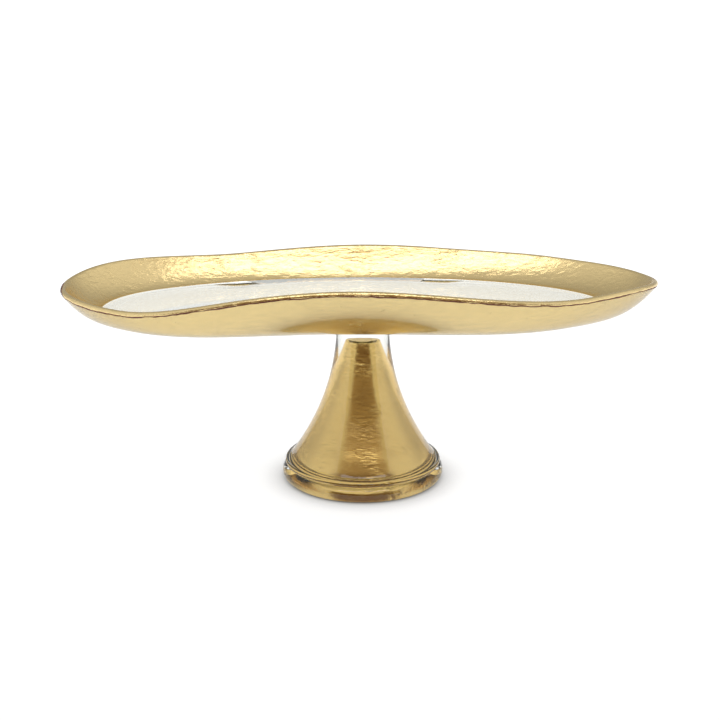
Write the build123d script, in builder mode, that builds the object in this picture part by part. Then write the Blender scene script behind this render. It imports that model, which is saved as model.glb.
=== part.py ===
"""Oval footed cake stand in clear glass with gold leaf.

A slumped glass plate with a wavy rim is bonded on a flared, hollow glass pedestal. Gold leaf covers
the plate's inner wall, round a clear floor, and lines the pedestal's hollow and the foot's bead.
The Z axis goes through the middle of the plate and z = 0 is the table. X runs along the plate.
"""

import os
from math import cos, hypot, pi, radians, sin, sqrt

from build123d import *

os.makedirs("parts", exist_ok=True)

# ---- Driving dimensions, in millimetres and degrees ------------------------------------------

# Plate
plate_length = 398.0  # tip to tip, over the lip
plate_width = 196.0  # front to back, over the lip
plate_thickness = 4.0  # glass of the floor and the wall
plate_underside = 116.0  # height of the plate's flat underside above the table
rim_height = 19.0  # from the underside to the middle of the lip, where the rim has no wave
wall_run_ends = 29.0  # from the lip in to the flat floor, seen from above, at the two tips
wall_run_back = 16.0  # the same at the back
wall_run_front = 26.0  # the same at the front, before the lift draws the floor's edge in
floor_offset = -3.0  # the floor lies a little towards one tip
wall_power = 2.0  # how late the wall turns up from the floor, at the front and the tips
back_straightening = 0.65  # how much sooner it turns up, and runs straighter, at the back
floor_draw = 1.35  # how far the floor's edge is drawn in for each unit that the rim is lifted

# Waves of the rim, each as (place round the plate, spread to each side, rise).
# Place 0 is the +X tip, 90 the back, 180 the other tip and 270 the front.
front_lifts = [(268, 50, 19.0), (325, 50, 6.5)]
rim_ripples = [(55, 20, 1.0), (88, 34, 3.8), (148, 34, 3.8), (220, 32, -1.5)]

# Pedestal
pedestal_shift = 1.9  # how far along X the pedestal's axis stands from the plate's middle
neck_diameter = 35.0
foot_diameter = 110.6  # over the large bead
bead_diameter = 10.8  # large bead, which the stand rests on
bead_flat = 0.3  # depth ground off the bead to make a flat ring
upper_bead_diameter = 3.6
upper_bead_height = 12.0  # its centre above the table
upper_bead_inset = 3.7  # its centre inside the large bead's widest point
flare_power = 2.2  # how late the neck turns into the flare
pedestal_wall = 4.5  # glass between the hollow and the flare, at the foot
hollow_roof = 17.0  # solid glass above the hollow
hollow_top_diameter = 11.6  # flat top of the hollow
hollow_shoulder = 2.0  # radius of the round shoulder below the flat top
mouth_inset = 9.0  # from the large bead's widest point in to the hollow's open mouth
mouth_taper = 1.0  # how much the mouth narrows by the height of the large bead's top

# Gilding and bond
leaf_thickness = 0.25  # gold leaf with its size and its varnish
leaf_clearance = 0.15  # the pedestal's lining stops this far above the table
bond_thickness = 0.5
bond_diameter = 33.0

# ---- Shape of the plate's wall ---------------------------------------------------------------

half_thickness = plate_thickness / 2
ring_points = 60
wall_shares = [0.0, 0.25, 0.5, 0.75, 1.0]
lip_angles = [90, 45, 0, -45, -90]


def wave(place, waves):
    """The waves' smooth rises, added up at one place round the plate."""
    rise = 0.0
    for centre, spread, height in waves:
        away = (place - centre + 180) % 360 - 180
        if abs(away) < spread:
            rise += height * (1 + cos(pi * away / spread)) / 2
    return rise


def floor_edge(place):
    """Where the wall leaves the floor, seen from above."""
    turn = radians(place)
    run = wall_run_back if sin(turn) > 0 else wall_run_front
    depth = plate_width / 2 - run - floor_draw * wave(place, front_lifts)
    reach = plate_length / 2 - wall_run_ends
    return floor_offset + reach * cos(turn), depth * sin(turn)


def rim_edge(place):
    """The middle of the lip, seen from above."""
    turn = radians(place)
    return (
        (plate_length / 2 - half_thickness) * cos(turn),
        (plate_width / 2 - half_thickness) * sin(turn),
    )


def wall_point(place, share, across=0.0, beyond=0.0):
    """A point of the wall, which curves up from the floor (share 0) to the lip (share 1).

    across is the distance from the middle of the glass, positive towards the outer face.
    beyond is the distance further up the wall.
    """
    start, end = floor_edge(place), rim_edge(place)
    run = hypot(end[0] - start[0], end[1] - start[1])
    rise = rim_height - half_thickness + wave(place, front_lifts + rim_ripples)
    power = wall_power - back_straightening * max(0.0, sin(radians(place))) ** 2
    slope = power * rise * share**(power - 1) / run
    tilt = 1 / hypot(1, slope)
    out = run * share + (across * slope + beyond) * tilt
    up = rise * share**power + (beyond * slope - across) * tilt
    return (
        start[0] + (end[0] - start[0]) * out / run,
        start[1] + (end[1] - start[1]) * out / run,
        plate_underside + half_thickness + up,
    )


def wall_ring(share, across=0.0, beyond=0.0):
    """A closed curve round the plate, at one share of the wall."""
    places = [360 * step / ring_points for step in range(ring_points)]
    with BuildLine() as ring:
        Spline(*[wall_point(place, share, across, beyond) for place in places], periodic=True)
    return ring.wire()


def lofted_face(rings, ruled=False):
    return Shell.make_loft(rings, ruled).face()


outer_rings = [wall_ring(share, half_thickness) for share in wall_shares]
lip_rings = [
    wall_ring(1.0, half_thickness * sin(radians(angle)), half_thickness * cos(radians(angle)))
    for angle in lip_angles
]
inner_rings = [wall_ring(share, -half_thickness) for share in wall_shares]
inner_wall = lofted_face(inner_rings)

# ---- Plate glass: flat underside, outer wall, round lip, inner wall, flat floor ----------------

with BuildPart() as plate_glass:
    add(
        Solid(
            Shell(
                [
                    Face(outer_rings[0]),
                    lofted_face(outer_rings),
                    lofted_face(lip_rings),
                    inner_wall,
                    Face(inner_rings[0]),
                ]
            )
        )
    )

# ---- Plate leaf: a skin on the inner wall, from the floor's edge to the lip --------------------

leaf_rings = [wall_ring(share, -half_thickness - leaf_thickness) for share in wall_shares]

with BuildPart() as plate_leaf:
    add(
        Solid(
            Shell(
                [
                    inner_wall,
                    lofted_face([inner_rings[0], leaf_rings[0]], ruled=True),
                    lofted_face(leaf_rings),
                    lofted_face([inner_rings[-1], leaf_rings[-1]], ruled=True),
                ]
            )
        )
    )

# ---- Shape of the pedestal ---------------------------------------------------------------------

pedestal_top = plate_underside - bond_thickness
neck_radius = neck_diameter / 2
foot_radius = foot_diameter / 2
bead_radius = bead_diameter / 2
upper_bead_centre = foot_radius - upper_bead_inset
mouth_radius = foot_radius - mouth_inset
bead_centre = foot_radius - bead_radius
bead_height = bead_radius - bead_flat
mouth_height = bead_height - sqrt(bead_radius**2 - (bead_centre - mouth_radius) ** 2)
hollow_top = pedestal_top - hollow_roof
hollow_neck_height = hollow_top - hollow_shoulder
hollow_neck_radius = hollow_top_diameter / 2 + hollow_shoulder
flare_drop = pedestal_top - upper_bead_height
flare_spread = upper_bead_centre - neck_radius
flare_steps = 8
hollow_shares = [0.9, 0.8, 0.6, 0.45, 0.32, 0.22]


def flare_radius(height):
    """Outside radius of the neck and flare."""
    return neck_radius + flare_spread * ((pedestal_top - height) / flare_drop) ** flare_power


def hollow_radius(height, inset):
    """Radius of the hollow, whose wall grows from the foot's thickness to the neck's."""
    neck_wall = flare_radius(hollow_neck_height) - hollow_neck_radius
    grown = (height / hollow_neck_height) ** 2
    wall = pedestal_wall + (neck_wall - pedestal_wall) * grown
    drop_share = (pedestal_top - height) / flare_drop
    slope = flare_power * flare_spread / flare_drop * drop_share ** (flare_power - 1)
    return flare_radius(height) - (wall + inset) * hypot(1, slope)


def hollow_sketch(inset, foot):
    """Half section of the hollow, drawn smaller by inset and cut off at a height above the table."""
    heights = [hollow_neck_height * share for share in hollow_shares]
    with BuildSketch(Plane.XZ) as sketch:
        with BuildLine():
            roof = Line((0, hollow_top - inset), (hollow_top_diameter / 2, hollow_top - inset))
            shoulder = CenterArc(
                (hollow_top_diameter / 2, hollow_neck_height), hollow_shoulder - inset, 0, 90
            )
            side = Spline(
                shoulder @ 0,
                *[(hollow_radius(height, inset), height) for height in heights],
                (mouth_radius - inset - mouth_taper, bead_diameter),
                (mouth_radius - inset, bead_radius / 2),
            )
            Polyline(side @ 1, (mouth_radius - inset, 0), (0, 0), roof @ 0)
        make_face()
        if foot > 0:
            with Locations((mouth_radius / 2, foot / 2)):
                Rectangle(mouth_radius, foot, mode=Mode.SUBTRACT)
    return sketch.sketch


# ---- Pedestal glass ----------------------------------------------------------------------------

with BuildPart() as pedestal_glass:
    with BuildSketch(Plane.XZ):
        with BuildLine():
            flare_heights = [
                pedestal_top - flare_drop * step / flare_steps for step in range(flare_steps + 1)
            ]
            flare = Spline(*[(flare_radius(height), height) for height in flare_heights])
            Polyline(
                flare @ 1,
                (upper_bead_centre, bead_radius),
                (0, bead_radius),
                (0, pedestal_top),
                flare @ 0,
            )
        make_face()
        with Locations((bead_centre, bead_height)):
            Circle(bead_radius)
        with Locations((upper_bead_centre, upper_bead_height)):
            Circle(upper_bead_diameter / 2)
        with Locations((foot_radius / 2, -bead_radius / 2)):
            Rectangle(foot_radius, bead_radius, mode=Mode.SUBTRACT)
        add(hollow_sketch(0.0, 0.0), mode=Mode.SUBTRACT)
    revolve(axis=Axis.Z)

# ---- Pedestal leaf: a skin that lines the hollow and goes on under the large bead --------------

with BuildSketch(Plane.XZ) as bead_skin:
    with Locations((bead_centre, bead_height)):
        Circle(bead_radius + leaf_thickness)
        Circle(bead_radius, mode=Mode.SUBTRACT)
    skin_width = bead_centre - mouth_radius + leaf_thickness
    skin_height = mouth_height + leaf_thickness - leaf_clearance
    with Locations((bead_centre - skin_width / 2, leaf_clearance + skin_height / 2)):
        Rectangle(skin_width, skin_height, mode=Mode.INTERSECT)

with BuildPart() as pedestal_leaf:
    with BuildSketch(Plane.XZ):
        add(hollow_sketch(0.0, mouth_height))
        add(hollow_sketch(leaf_thickness, 0.0), mode=Mode.SUBTRACT)
        add(bead_skin.sketch)
    revolve(axis=Axis.Z)

# ---- Bond between the neck and the plate -------------------------------------------------------

with BuildPart() as bond_disc:
    with BuildSketch(Plane.XY.offset(pedestal_top)):
        Circle(bond_diameter / 2)
    extrude(amount=bond_thickness)

# ---- Files ---------------------------------------------------------------------------------------

pedestal_place = Pos(pedestal_shift, 0, 0)
pieces = {
    "plate_glass": plate_glass.part,
    "plate_leaf": plate_leaf.part,
    "pedestal_glass": pedestal_place * pedestal_glass.part,
    "pedestal_leaf": pedestal_place * pedestal_leaf.part,
    "bond_disc": pedestal_place * bond_disc.part,
}
for name, piece in pieces.items():
    piece.label = name
    export_step(piece, f"parts/{name}.step")
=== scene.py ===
"""Oval footed cake stand: clear glass, with gold leaf on the plate's wall and in the foot's hollow."""

from math import acos, asin, atan2, cos, hypot, pi, radians, sin

import bmesh
import bpy
from mathutils import Matrix, Vector, noise


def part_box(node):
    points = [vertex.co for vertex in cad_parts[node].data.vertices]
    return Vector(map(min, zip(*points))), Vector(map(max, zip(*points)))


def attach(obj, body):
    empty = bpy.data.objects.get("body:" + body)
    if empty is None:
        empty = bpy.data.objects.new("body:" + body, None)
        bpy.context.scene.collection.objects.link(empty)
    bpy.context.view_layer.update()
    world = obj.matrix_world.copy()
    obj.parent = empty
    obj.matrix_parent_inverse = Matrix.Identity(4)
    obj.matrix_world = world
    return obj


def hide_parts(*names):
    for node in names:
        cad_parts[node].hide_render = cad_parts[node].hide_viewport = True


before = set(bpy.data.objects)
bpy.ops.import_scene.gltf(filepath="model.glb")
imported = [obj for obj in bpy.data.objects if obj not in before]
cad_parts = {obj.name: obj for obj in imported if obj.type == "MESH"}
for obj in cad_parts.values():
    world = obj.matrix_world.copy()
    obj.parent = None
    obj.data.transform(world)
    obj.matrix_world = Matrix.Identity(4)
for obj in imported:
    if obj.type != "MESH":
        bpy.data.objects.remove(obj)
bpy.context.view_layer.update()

MM = 0.001

# ---- Sizes, from the frame's boxes -------------------------------------------------------------

plate_low, plate_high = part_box("plate_glass")
bond_low, bond_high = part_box("bond_disc")
foot_low, foot_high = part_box("pedestal_glass")
_, lining_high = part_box("pedestal_leaf")

PLATE_THICKNESS = 4.0 * MM
HALF_GLASS = PLATE_THICKNESS / 2
PLATE_UNDERSIDE = plate_low.z
TIP = (plate_high.x - plate_low.x) / 2
SIDE = (plate_high.y - plate_low.y) / 2
RIM_HEIGHT = 19.0 * MM
WALL_RUN_TIPS = 29.0 * MM
WALL_RUN_BACK = 16.0 * MM
WALL_RUN_FRONT = 26.0 * MM
FLOOR_OFFSET = -3.0 * MM
FLOOR_DRAW = 1.35
WALL_POWER = 2.0
BACK_STRAIGHTENING = 0.65

# Waves of the rim, each as (place in degrees, spread to each side, rise in millimetres).
FRONT_LIFTS = [(268, 50, 19.0), (325, 50, 6.5)]
RIM_RIPPLES = [(55, 20, 1.0), (88, 34, 3.8), (148, 34, 3.8), (220, 32, -1.5)]

PEDESTAL_TOP = foot_high.z
NECK_RADIUS = 17.5 * MM
FOOT_RADIUS = (foot_high.x - foot_low.x) / 2
PEDESTAL_PLACE = Vector(((foot_high.x + foot_low.x) / 2, 0.0, 0.0))
BEAD_RADIUS = 5.4 * MM
BEAD_FLAT = 0.3 * MM
UPPER_BEAD_RADIUS = 1.8 * MM
UPPER_BEAD_HEIGHT = 12.0 * MM
UPPER_BEAD_CENTRE = FOOT_RADIUS - 3.7 * MM
FLARE_POWER = 2.2
PEDESTAL_WALL = 4.5 * MM
HOLLOW_TOP = lining_high.z
HOLLOW_TOP_RADIUS = 5.8 * MM
HOLLOW_SHOULDER = 2.0 * MM
MOUTH_RADIUS = FOOT_RADIUS - 9.0 * MM
BEAD_CENTRE = (FOOT_RADIUS - BEAD_RADIUS, BEAD_RADIUS - BEAD_FLAT)

LEAF_BED = 0.06 * MM  # how deep the leaf lies in its size, so that no air shows behind it
LEAF_BODY = 0.12 * MM
LIP_INSET = 0.2 * MM  # keeps the gilded lip inside the stand's own box
LEAF_CRINKLE = 0.2 * MM

# ---- The plate's wall --------------------------------------------------------------------------


def wave(place, waves):
    """The waves' smooth rises, in thousandths, added up at one place round the plate."""
    rise = 0.0
    for centre, spread, height in waves:
        away = (place - centre + 180) % 360 - 180
        if abs(away) < spread:
            rise += height * MM * (1 + cos(pi * away / spread)) / 2
    return rise


def floor_edge(place):
    """Where the wall leaves the floor, seen from above."""
    turn = radians(place)
    run = WALL_RUN_BACK if sin(turn) > 0 else WALL_RUN_FRONT
    depth = SIDE - run - FLOOR_DRAW * wave(place, FRONT_LIFTS)
    return Vector((FLOOR_OFFSET + (TIP - WALL_RUN_TIPS) * cos(turn), depth * sin(turn)))


def rim_edge(place):
    """The middle of the lip, seen from above."""
    turn = radians(place)
    inset = HALF_GLASS + LIP_INSET
    return Vector(((TIP - inset) * cos(turn), (SIDE - inset) * sin(turn)))


def wall_point(place, share, across=0.0, beyond=0.0):
    """A point of the wall, from the floor (share 0) to the lip (share 1).

    across is the distance from the middle of the glass towards the outer face.
    beyond is the distance further up the wall.
    """
    start, end = floor_edge(place), rim_edge(place)
    run = (end - start).length
    rise = RIM_HEIGHT - HALF_GLASS - LIP_INSET + wave(place, FRONT_LIFTS + RIM_RIPPLES)
    power = WALL_POWER - BACK_STRAIGHTENING * max(0.0, sin(radians(place))) ** 2
    climb = max(share, 0.0)
    slope = power * rise * climb ** (power - 1) / run
    tilt = 1 / hypot(1, slope)
    out = run * share + (across * slope + beyond) * tilt
    up = rise * climb**power + (beyond * slope - across) * tilt
    spot = start.lerp(end, out / run)
    return Vector((spot.x, spot.y, PLATE_UNDERSIDE + HALF_GLASS + up))


# ---- The pedestal's outline --------------------------------------------------------------------

FLARE_DROP = PEDESTAL_TOP - UPPER_BEAD_HEIGHT
FLARE_SPREAD = UPPER_BEAD_CENTRE - NECK_RADIUS
HOLLOW_NECK = HOLLOW_TOP - HOLLOW_SHOULDER


def flare_radius(height):
    """Outside radius of the neck and flare."""
    return NECK_RADIUS + FLARE_SPREAD * ((PEDESTAL_TOP - height) / FLARE_DROP) ** FLARE_POWER


def hollow_radius(height):
    """Radius of the hollow, whose wall grows from the foot's thickness to the neck's."""
    neck_wall = flare_radius(HOLLOW_NECK) - HOLLOW_TOP_RADIUS - HOLLOW_SHOULDER
    wall = PEDESTAL_WALL + (neck_wall - PEDESTAL_WALL) * (height / HOLLOW_NECK) ** 2
    drop = (PEDESTAL_TOP - height) / FLARE_DROP
    slope = FLARE_POWER * FLARE_SPREAD / FLARE_DROP * drop ** (FLARE_POWER - 1)
    return flare_radius(height) - wall * hypot(1, slope)


def smooth_curve(points, steps):
    """Points along a smooth curve through the given ones."""
    ends = [2 * points[0] - points[1], *points, 2 * points[-1] - points[-2]]
    curve = []
    for before, start, end, after in zip(ends, ends[1:], ends[2:], ends[3:]):
        for step in range(steps):
            t = step / steps
            pull = (end - before) * t + (2 * before - 5 * start + 4 * end - after) * t**2
            curve.append(start + (pull + (3 * start - before - 3 * end + after) * t**3) / 2)
    return [*curve, points[-1]]


def arc(centre, radius, start, end, steps):
    """Points along an arc, as (radius, height), with angles in degrees."""
    angles = [radians(start + (end - start) * step / steps) for step in range(steps + 1)]
    return [Vector((centre[0] + radius * cos(a), centre[1] + radius * sin(a))) for a in angles]


# Angles about the large bead's middle, in degrees: where the hollow's mouth meets it, and its flat.
MOUTH_ANGLE = 180 + acos((BEAD_CENTRE[0] - MOUTH_RADIUS) / BEAD_RADIUS) * 180 / pi
FLAT_ANGLE = asin(BEAD_CENTRE[1] / BEAD_RADIUS) * 180 / pi


def hollow_outline():
    """The hollow's half section from its flat top down to the bead, as (radius, height)."""
    roof = [Vector((HOLLOW_TOP_RADIUS * step / 6, HOLLOW_TOP)) for step in range(6)]
    shoulder = arc((HOLLOW_TOP_RADIUS, HOLLOW_NECK), HOLLOW_SHOULDER, 90, 0, 6)
    heights = [HOLLOW_NECK * share for share in (0.9, 0.8, 0.6, 0.45, 0.32, 0.22)]
    knots = [
        shoulder[-1],
        *[Vector((hollow_radius(height), height)) for height in heights],
        Vector((MOUTH_RADIUS - 1 * MM, 2 * BEAD_RADIUS)),
        Vector((MOUTH_RADIUS, BEAD_RADIUS / 2)),
    ]
    return [*roof, *shoulder[:-1], *smooth_curve(knots, 10)]


# ---- Mesh helpers ------------------------------------------------------------------------------


def new_piece(name, bm, materials):
    """Closes a bmesh as a smooth piece that rides on the stand."""
    bmesh.ops.recalc_face_normals(bm, faces=bm.faces)
    mesh = bpy.data.meshes.new(name)
    bm.to_mesh(mesh)
    bm.free()
    mesh.shade_smooth()
    for material in materials:
        mesh.materials.append(material)
    piece = bpy.data.objects.new(name, mesh)
    bpy.context.scene.collection.objects.link(piece)
    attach(piece, "root")
    return piece


def first_ring(bm, segments, position):
    """A closed ring of edges. Each vertex keeps its place round the ring, in degrees."""
    layer = bm.verts.layers.float.new("place")
    verts = bmesh.ops.create_circle(bm, segments=segments, radius=1.0)["verts"]
    for vert in verts:
        vert[layer] = 360 * (atan2(vert.co.y, vert.co.x) / (2 * pi) % 1.0)
        vert.co = position(vert[layer])
    return list(bm.edges)


def next_ring(bm, ring, position, slot=0):
    """Extrudes a ring of edges to the next ring, and returns the new one."""
    layer = bm.verts.layers.float["place"]
    grown = bmesh.ops.extrude_edge_only(bm, edges=ring)["geom"]
    verts = {item for item in grown if isinstance(item, bmesh.types.BMVert)}
    for vert in verts:
        vert.co = position(vert[layer])
    for item in grown:
        if isinstance(item, bmesh.types.BMFace):
            item.material_index = slot
    return [
        item
        for item in grown
        if isinstance(item, bmesh.types.BMEdge) and set(item.verts) <= verts
    ]


def close_ring(bm, ring):
    """Caps a ring with triangles that meet at its middle."""
    cap = bmesh.ops.contextual_create(bm, geom=ring)["faces"]
    bmesh.ops.poke(bm, faces=cap)


# ---- Materials ---------------------------------------------------------------------------------


def linear(hex_colour):
    """An sRGB hex colour as linear red, green, blue and alpha."""
    parts = [int(hex_colour[i : i + 2], 16) / 255 for i in (0, 2, 4)]
    return (*[p / 12.92 if p <= 0.04045 else ((p + 0.055) / 1.055) ** 2.4 for p in parts], 1.0)


def node(tree, kind, settings=None, **inputs):
    """Adds a node. settings are its properties, and inputs are values or sockets, by name."""
    added = tree.nodes.new(kind)
    for name, value in (settings or {}).items():
        setattr(added, name, value)
    for name, value in inputs.items():
        key = int(name[1:]) if name[0] == "_" else name.replace("_", " ")
        socket = added.inputs[key]
        if isinstance(value, bpy.types.NodeSocket):
            tree.links.new(value, socket)
        else:
            socket.default_value = value
    return added


def new_material(name):
    """A material with an empty node tree."""
    material = bpy.data.materials.new(name)
    material.use_nodes = True
    material.node_tree.nodes.clear()
    return material, material.node_tree


def clear_glass():
    """Soda-lime glass: slumped and pressed, then fire-polished."""
    material, tree = new_material("soda_lime_glass")
    coord = node(tree, "ShaderNodeTexCoord")
    ripple = node(
        tree, "ShaderNodeTexNoise", Vector=coord.outputs["Object"], Scale=1 / (38 * MM), Detail=1.0
    )
    bump = node(
        tree, "ShaderNodeBump", Height=ripple.outputs["Fac"], Strength=0.12, Distance=1.0 * MM
    )
    glass = node(
        tree,
        "ShaderNodeBsdfPrincipled",
        Base_Color=linear("F2F5F3"),
        Roughness=0.0,
        IOR=1.5,
        Normal=bump.outputs["Normal"],
    )
    glass.inputs["Transmission Weight"].default_value = 1.0
    node(tree, "ShaderNodeOutputMaterial", Surface=glass.outputs["BSDF"])
    return material


def gold_leaf(name, colour, satin, wrinkle, crumple, crumpled_at=None):
    """Hand-laid gold leaf.

    The sheets are burnished through tissue, so their sheen is uneven and they keep long fine
    wrinkles. In patches the leaf has crumpled.
    """
    material, tree = new_material(name)
    coord = node(tree, "ShaderNodeTexCoord").outputs["Object"]
    along = node(tree, "ShaderNodeMapping", Vector=coord, Scale=(0.45, 1.0, 1.5))
    fine = node(
        tree,
        "ShaderNodeTexNoise",
        Vector=along.outputs["Vector"],
        Scale=1 / (3.2 * MM),
        Detail=6.0,
        Distortion=0.6,
    )
    patches = node(tree, "ShaderNodeTexNoise", Vector=coord, Scale=1 / (16 * MM), Detail=2.0)
    where = node(
        tree,
        "ShaderNodeMapRange",
        Value=patches.outputs["Fac"],
        From_Min=0.48,
        From_Max=0.66,
        To_Min=wrinkle,
        To_Max=crumple,
    )
    strength = where.outputs["Result"]
    if crumpled_at:
        away = node(
            tree, "ShaderNodeVectorMath", {"operation": "DISTANCE"}, _0=coord, _1=crumpled_at
        )
        bunched = node(
            tree,
            "ShaderNodeMapRange",
            Value=away.outputs["Value"],
            From_Min=5 * MM,
            From_Max=17 * MM,
            To_Min=crumple,
            To_Max=0.0,
        )
        strength = node(
            tree,
            "ShaderNodeMath",
            {"operation": "MAXIMUM"},
            _0=strength,
            _1=bunched.outputs["Result"],
        ).outputs[0]
    bump = node(
        tree,
        "ShaderNodeBump",
        Height=fine.outputs["Fac"],
        Strength=strength,
        Distance=0.8 * MM,
    )
    sheen = node(
        tree,
        "ShaderNodeMapRange",
        Value=fine.outputs["Fac"],
        From_Min=0.3,
        From_Max=0.7,
        To_Min=satin * 0.8,
        To_Max=satin * 1.25,
    )
    metal = node(
        tree,
        "ShaderNodeBsdfPrincipled",
        Base_Color=linear(colour),
        Metallic=1.0,
        Roughness=sheen.outputs["Result"],
        Normal=bump.outputs["Normal"],
    )
    node(tree, "ShaderNodeOutputMaterial", Surface=metal.outputs["BSDF"])
    return material


def leaf_size():
    """Size and shellac: the brown oil varnish that holds the leaf, bare past the torn edge. Its dark
    brown is partly painted shade along that edge under the lip.
    """
    material, tree = new_material("brown_size_with_painted_shade")
    varnish = node(
        tree, "ShaderNodeBsdfPrincipled", Base_Color=linear("6A2E06"), Roughness=0.5, IOR=1.5
    )
    node(tree, "ShaderNodeOutputMaterial", Surface=varnish.outputs["BSDF"])
    return material


glass_material = clear_glass()
# The size band is real, and its dark brown is partly painted shade along the leaf's edge at the lip.
shellac = leaf_size()
# One gold leaf in three tones: the paler tones on the plate's wall are painted light, and the deeper
# tone in the foot's hollow is painted shade.
laid_leaf = gold_leaf("gold_leaf_on_glass", "F8DC9A", 0.22, 0.02, 0.08)
hollow_leaf = gold_leaf(
    "gold_leaf_in_hollow", "F5D184", 0.2, 0.03, 0.5, crumpled_at=(2 * MM, -22 * MM, 42 * MM)
)
open_leaf = gold_leaf("gold_leaf_open_side", "F8DEA2", 0.24, 0.4, 0.9)

# ---- Plate glass -------------------------------------------------------------------------------

PLATE_SEGMENTS = 288
WALL_STEPS = 40
LIP_STEPS = 8
FLOOR_SHARES = [0.85, 0.6, 0.35, 0.12]


def floor_point(share, height):
    """A point of the flat floor, from its middle (share 0) to its edge (share 1)."""

    def position(place):
        spot = floor_edge(place) * share
        return Vector((spot.x, spot.y, height))

    return position


def build_plate_glass():
    """The plate as rings: out under the floor, up, over the lip, down and in over the floor."""
    bm = bmesh.new()
    ring = first_ring(bm, PLATE_SEGMENTS, floor_point(FLOOR_SHARES[-1], PLATE_UNDERSIDE))
    close_ring(bm, ring)
    for share in reversed(FLOOR_SHARES[:-1]):
        ring = next_ring(bm, ring, floor_point(share, PLATE_UNDERSIDE))
    for step in range(WALL_STEPS + 1):
        share = step / WALL_STEPS
        ring = next_ring(bm, ring, lambda place: wall_point(place, share, HALF_GLASS))
    for step in range(1, LIP_STEPS):
        turn = pi * step / LIP_STEPS
        across, beyond = HALF_GLASS * cos(turn), HALF_GLASS * sin(turn)
        ring = next_ring(bm, ring, lambda place: wall_point(place, 1.0, across, beyond))
    for step in range(WALL_STEPS, -1, -1):
        share = step / WALL_STEPS
        ring = next_ring(bm, ring, lambda place: wall_point(place, share, -HALF_GLASS))
    for share in FLOOR_SHARES:
        ring = next_ring(bm, ring, floor_point(share, PLATE_UNDERSIDE + PLATE_THICKNESS))
    close_ring(bm, ring)
    piece = new_piece("slumped_glass_plate", bm, [glass_material])
    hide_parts("plate_glass")


build_plate_glass()

# ---- Plate leaf --------------------------------------------------------------------------------

LEAF_SEGMENTS = 900
LEAF_STEPS = 40
LIP_LEAF_STEPS = 8
LIP_LEAF_TURN = 150.0  # how far the leaf laps over the lip, in degrees
SIZE_TURN = 38.0  # how far the size shows past the leaf, in degrees

# How far up the wall the leaf starts, as (place, spread, share of the wall in thousandths).
LEAF_STARTS = [(270, 80, 90), (150, 30, 90), (85, 70, -110)]
TIP_GAPS = [(0, 8, 650), (182, 16, 650)]  # share of the lap that is missing at the tips


def crinkle(spot):
    """Height of the leaf's wrinkles at a point, in metres."""
    broad = noise.noise(spot / (14 * MM))
    sharp = 1 - abs(noise.noise(spot / (5 * MM)))
    return LEAF_CRINKLE * (0.5 + 0.5 * broad) * sharp


def tear(place, coarse, fine):
    """How far a torn edge strays at one place, from about -1 to 1."""
    spot = Vector((TIP * cos(radians(place)), SIDE * sin(radians(place)), 0.0))
    return noise.noise(spot / (coarse * MM)) + 0.5 * noise.noise(spot / (fine * MM))


def leaf_point(step, crumpled):
    """One ring of the leaf, on its bedded side or on its open side.

    The steps go up the wall, then round the lip to the torn edge, and one more to the size's edge.
    """

    def position(place):
        start = wave(place, LEAF_STARTS)
        gap = wave(place, TIP_GAPS)
        share = start + (1 - start) * min(step / LEAF_STEPS, 1.0)
        lap = (1 - gap) * (LIP_LEAF_TURN + 14 * tear(place, 9, 3))
        turn = lap * min(max(step - LEAF_STEPS, 0) / LIP_LEAF_STEPS, 1.0)
        depth = -LEAF_BED
        if step > LEAF_STEPS + LIP_LEAF_STEPS:
            turn += SIZE_TURN * (0.65 + 0.6 * tear(place + 40, 14, 4))
        if crumpled:
            rough = crinkle(wall_point(place, share, -HALF_GLASS))
            depth = LEAF_BODY + rough * (0.3 if step > LEAF_STEPS else 1.0)
        reach = HALF_GLASS + depth
        return wall_point(place, share, -reach * cos(radians(turn)), reach * sin(radians(turn)))

    return position


def build_plate_leaf():
    """The leaf as rings: up its bedded side, round the lip, and back down its open side."""
    bm = bmesh.new()
    last = LEAF_STEPS + LIP_LEAF_STEPS + 1
    ring = first_ring(bm, LEAF_SEGMENTS, leaf_point(0, False))
    start = ring
    for step in range(1, last + 1):
        ring = next_ring(bm, ring, leaf_point(step, False), 2 if step == last else 0)
    for step in range(last, -1, -1):
        ring = next_ring(bm, ring, leaf_point(step, True), 2 if step >= last - 1 else 1)
    bmesh.ops.bridge_loops(bm, edges=start + ring)
    piece = new_piece("gilded_wall_leaf", bm, [laid_leaf, open_leaf, shellac])
    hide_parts("plate_leaf")


build_plate_leaf()

# ---- Pedestal glass ----------------------------------------------------------------------------

PEDESTAL_SEGMENTS = 192


def circle_crossing(centre, radius, other, other_radius):
    """Angle, in degrees about centre, of the outer point where two circles cross."""
    gap = Vector(other) - Vector(centre)
    spread = acos((radius**2 + gap.length**2 - other_radius**2) / (2 * radius * gap.length))
    angles = [atan2(gap.y, gap.x) + spread, atan2(gap.y, gap.x) - spread]
    return max(angles, key=cos) * 180 / pi


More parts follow.
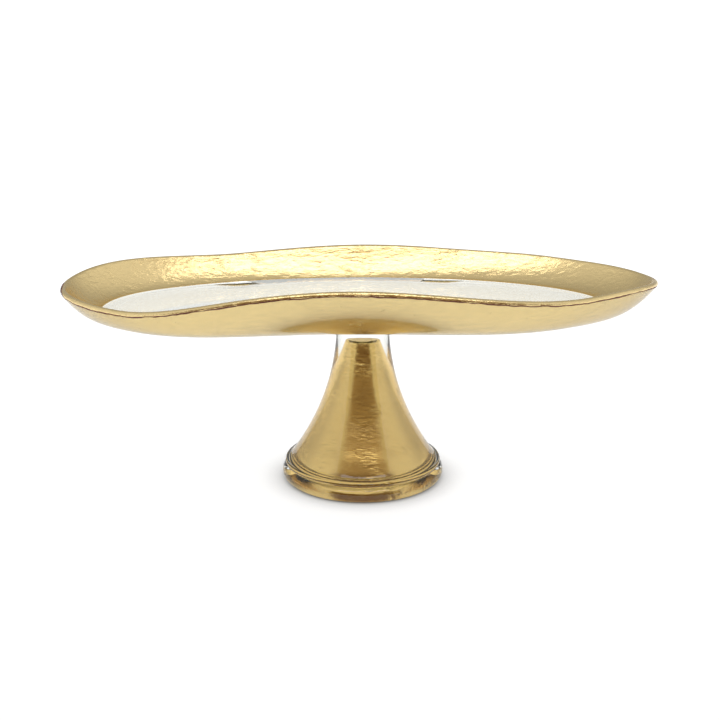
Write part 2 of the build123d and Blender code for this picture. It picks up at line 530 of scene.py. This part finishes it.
def build_pedestal_glass():
    """The foot, spun from its half section."""
    bead = BEAD_CENTRE
    upper = (UPPER_BEAD_CENTRE, UPPER_BEAD_HEIGHT)
    groove = circle_crossing(bead, BEAD_RADIUS, upper, UPPER_BEAD_RADIUS)
    groove_above = circle_crossing(upper, UPPER_BEAD_RADIUS, bead, BEAD_RADIUS)
    flare_end = UPPER_BEAD_HEIGHT + UPPER_BEAD_RADIUS
    flare = [
        Vector((flare_radius(height), height))
        for height in [PEDESTAL_TOP - (PEDESTAL_TOP - flare_end) * step / 40 for step in range(41)]
    ]
    outline = [
        Vector((0.0, PEDESTAL_TOP)),
        *flare[:-1],
        *arc(upper, UPPER_BEAD_RADIUS, 100, groove_above, 14),
        *arc(bead, BEAD_RADIUS, groove, -FLAT_ANGLE, 30)[1:],
        *arc(bead, BEAD_RADIUS, 180 + FLAT_ANGLE, MOUTH_ANGLE, 12),
        *reversed(hollow_outline()),
    ]
    bm = bmesh.new()
    verts = [bm.verts.new((spot.x, 0.0, spot.y)) for spot in outline]
    edges = [bm.edges.new(pair) for pair in zip(verts, verts[1:])]
    bmesh.ops.spin(
        bm,
        geom=verts + edges,
        axis=(0, 0, 1),
        cent=(0, 0, 0),
        angle=2 * pi,
        steps=PEDESTAL_SEGMENTS,
        use_merge=True,
    )
    bmesh.ops.remove_doubles(bm, verts=bm.verts, dist=0.005 * MM)
    bmesh.ops.translate(bm, vec=PEDESTAL_PLACE, verts=bm.verts)
    piece = new_piece("pressed_glass_foot", bm, [glass_material])
    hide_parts("pedestal_glass")


build_pedestal_glass()

# ---- Pedestal leaf -----------------------------------------------------------------------------

LINING_SEGMENTS = 360
LINING_END_ANGLE = 243.0  # where the leaf ends under the large bead


def build_pedestal_leaf():
    """The lining, as rings down its bedded side and back up its open side."""
    outline = [
        *hollow_outline()[1:],
        *arc(BEAD_CENTRE, BEAD_RADIUS, MOUTH_ANGLE, LINING_END_ANGLE, 8),
    ]
    slopes = [b - a for a, b in zip([outline[0], *outline], [*outline[1:], outline[-1]])]
    normals = [Vector((-slope.y, slope.x)).normalized() for slope in slopes]

    def bed_point(spot, normal):
        place_out = spot + normal * LEAF_BED
        return lambda place: Vector(
            (place_out.x * cos(radians(place)), place_out.x * sin(radians(place)), place_out.y)
        )

    def open_point(spot, normal):
        def position(place):
            turn = radians(place)
            rough = Vector((spot.x * cos(turn), spot.x * sin(turn), spot.y))
            inside = spot - normal * (LEAF_BODY + crinkle(rough))
            return Vector((inside.x * cos(turn), inside.x * sin(turn), inside.y))

        return position

    bm = bmesh.new()
    ring = first_ring(bm, LINING_SEGMENTS, bed_point(outline[0], normals[0]))
    close_ring(bm, ring)
    for spot, normal in zip(outline[1:], normals[1:]):
        ring = next_ring(bm, ring, bed_point(spot, normal), 0)
    for spot, normal in reversed(list(zip(outline, normals))):
        ring = next_ring(bm, ring, open_point(spot, normal), 1)
    close_ring(bm, ring)
    bmesh.ops.translate(bm, vec=PEDESTAL_PLACE, verts=bm.verts)
    piece = new_piece("gilded_hollow_leaf", bm, [hollow_leaf, open_leaf])
    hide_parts("pedestal_leaf")


build_pedestal_leaf()

# ---- Bond --------------------------------------------------------------------------------------


def build_bond():
    """The film of clear adhesive, with a slightly drawn-in edge."""
    radius = (bond_high.x - bond_low.x) / 2
    lap = 0.02 * MM
    low, high = bond_low.z - lap, bond_high.z + lap
    middle = (low + high) / 2
    outline = [(0.0, low), (radius, low), (radius - 0.2 * MM, middle), (radius, high), (0.0, high)]
    bm = bmesh.new()
    verts = [bm.verts.new((x, 0.0, z)) for x, z in outline]
    edges = [bm.edges.new(pair) for pair in zip(verts, verts[1:])]
    bmesh.ops.spin(
        bm,
        geom=verts + edges,
        axis=(0, 0, 1),
        cent=(0, 0, 0),
        angle=2 * pi,
        steps=96,
        use_merge=True,
    )
    bmesh.ops.remove_doubles(bm, verts=bm.verts, dist=0.005 * MM)
    bmesh.ops.translate(bm, vec=PEDESTAL_PLACE, verts=bm.verts)
    piece = new_piece("clear_bond", bm, [glass_material])
    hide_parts("bond_disc")


build_bond()

# ---- Stage, light and camera -------------------------------------------------------------------


def stage_plane(name, size, place, tilt, colour, glow, tone="FFFFFF", painted_shadow_reach=0.0):
    """A flat card that gives off its own light, darkened close to an object by ambient occlusion when
    a reach is given: a painted shadow.
    """
    bm = bmesh.new()
    turn = Matrix.Translation(place) @ Matrix.Rotation(radians(tilt), 4, "X")
    bmesh.ops.create_grid(bm, x_segments=1, y_segments=1, size=1.0)
    bmesh.ops.scale(bm, vec=(size[0] / 2, size[1] / 2, 1.0), verts=bm.verts)
    bmesh.ops.transform(bm, matrix=turn, verts=bm.verts)
    mesh = bpy.data.meshes.new(name)
    bm.to_mesh(mesh)
    bm.free()
    material, tree = new_material(name)
    paper = node(tree, "ShaderNodeBsdfPrincipled", Base_Color=linear(colour), Roughness=1.0)
    paper.inputs["Specular IOR Level"].default_value = 0.0
    paper.inputs["Emission Color"].default_value = linear(tone)
    if painted_shadow_reach:
        # painted shadow: ambient occlusion darkens the glow close to an object
        painted_contact_shadow = node(tree, "ShaderNodeAmbientOcclusion", {"samples": 8}, Distance=painted_shadow_reach)
        light = node(
            tree, "ShaderNodeMath", {"operation": "MULTIPLY"}, _0=painted_contact_shadow.outputs["AO"], _1=glow
        )
        tree.links.new(light.outputs[0], paper.inputs["Emission Strength"])
    else:
        paper.inputs["Emission Strength"].default_value = glow
    node(tree, "ShaderNodeOutputMaterial", Surface=paper.outputs["BSDF"])
    mesh.materials.append(material)
    plane = bpy.data.objects.new(name, mesh)
    bpy.context.scene.collection.objects.link(plane)
    return plane


# The floor glows evenly, but its glow is darkened round the foot: a painted shadow.
stage_plane("pale_floor", (30.0, 30.0), (0, 0, 0), 0, "A0A0A0", 0.78, painted_shadow_reach=18 * MM)
# Two warm cards in front of the camera, which it doesn't see. The gold mirrors them. Their sizes
# and light are given, not taken from a real studio.
CARD_MIDDLE = -0.013
CARD_PLACE = -0.45

low_card = stage_plane(
    "near_dark_card", (1.1, 0.27), (CARD_MIDDLE, CARD_PLACE, 0.14), 90, "000000", 0.14, "FFCB95"
)
low_card.visible_camera = False
high_card = stage_plane(
    "camera_side_card", (1.0, 0.36), (CARD_MIDDLE, CARD_PLACE, 0.455), 90, "000000", 0.38, "FFE4BE"
)
high_card.visible_camera = False


def soft_box(name, size, place, target, radiance):
    """A rectangular studio light that the camera doesn't see, turned to its target."""
    light = bpy.data.lights.new(name, "AREA")
    light.shape = "RECTANGLE"
    light.size, light.size_y = size
    light.energy = radiance * pi * size[0] * size[1]
    box = bpy.data.objects.new(name, light)
    bpy.context.scene.collection.objects.link(box)
    box.location = place
    box.rotation_euler = (Vector(target) - Vector(place)).to_track_quat("-Z", "Y").to_euler()
    box.visible_camera = False
    return box


soft_box("top_box", (1.3, 0.55), (0.0, -0.7, 1.08), (0, 0, 0.12), 2.3)
back_box = soft_box("back_box", (2.2, 0.7), (0.0, 1.1, 0.6), (0, 0, 0.0), 0.8)
back_box.visible_glossy = False

# The world's light differs for what the camera sees, what the gold mirrors and what shows through
# the glass. These shares are given too.
WORLD_WHITE = 1.0
WORLD_SIDES = 0.8
WORLD_BEHIND = 0.4
WORLD_CEILING = 0.65
WORLD_OFF_FRAME = 0.36

world = bpy.data.worlds.new("studio")
bpy.context.scene.world = world
world.use_nodes = True
sky = world.node_tree
sky.nodes.clear()
path = node(sky, "ShaderNodeLightPath")
direction = node(sky, "ShaderNodeTexCoord").outputs["Generated"]
toward = node(sky, "ShaderNodeSeparateXYZ", Vector=direction)
walls = node(
    sky,
    "ShaderNodeMapRange",
    Value=toward.outputs["Y"],
    From_Min=0.1,
    From_Max=0.8,
    To_Min=WORLD_SIDES,
    To_Max=WORLD_BEHIND,
)
ceiling = node(
    sky,
    "ShaderNodeMapRange",
    Value=toward.outputs["Z"],
    From_Min=0.5,
    From_Max=0.95,
    To_Min=1.0,
    To_Max=WORLD_CEILING,
)
surround = node(
    sky,
    "ShaderNodeMath",
    {"operation": "MULTIPLY"},
    _0=walls.outputs["Result"],
    _1=ceiling.outputs["Result"],
)
backdrop_edge = node(
    sky,
    "ShaderNodeMapRange",
    Value=toward.outputs["Y"],
    From_Min=0.86,
    From_Max=0.95,
    To_Min=WORLD_OFF_FRAME,
    To_Max=WORLD_WHITE,
)
seen = node(
    sky,
    "ShaderNodeMix",
    Factor=path.outputs["Is Transmission Ray"],
    A=WORLD_WHITE,
    B=backdrop_edge.outputs["Result"],
)
mirrored = node(
    sky, "ShaderNodeMath", {"operation": "GREATER_THAN"}, _0=path.outputs["Glossy Depth"], _1=0.5
)
brightness = node(
    sky,
    "ShaderNodeMix",
    Factor=mirrored.outputs[0],
    A=seen.outputs[0],
    B=surround.outputs[0],
)
backdrop = node(sky, "ShaderNodeBackground", Strength=brightness.outputs[0])
backdrop.inputs["Color"].default_value = (1, 1, 1, 1)
node(sky, "ShaderNodeOutputWorld", Surface=backdrop.outputs["Background"])

FOCAL_LENGTH = 75.0  # of the lens, in millimetres, as the next value
SENSOR_WIDTH = 36.0
CAMERA_DISTANCE = 0.971
CAMERA_HEIGHT = 0.387
CAMERA_PITCH = radians(17.4)
CAMERA_SWING = radians(1.7)

lens = bpy.data.cameras.new("camera")
lens.sensor_width = SENSOR_WIDTH
lens.lens = FOCAL_LENGTH
camera = bpy.data.objects.new("camera", lens)
bpy.context.scene.collection.objects.link(camera)
camera.location = (
    -CAMERA_DISTANCE * sin(CAMERA_SWING),
    -CAMERA_DISTANCE * cos(CAMERA_SWING),
    CAMERA_HEIGHT,
)
camera.rotation_euler = (pi / 2 - CAMERA_PITCH, 0.0, -CAMERA_SWING)
bpy.context.scene.camera = camera
bpy.context.scene.view_settings.view_transform = "Standard"
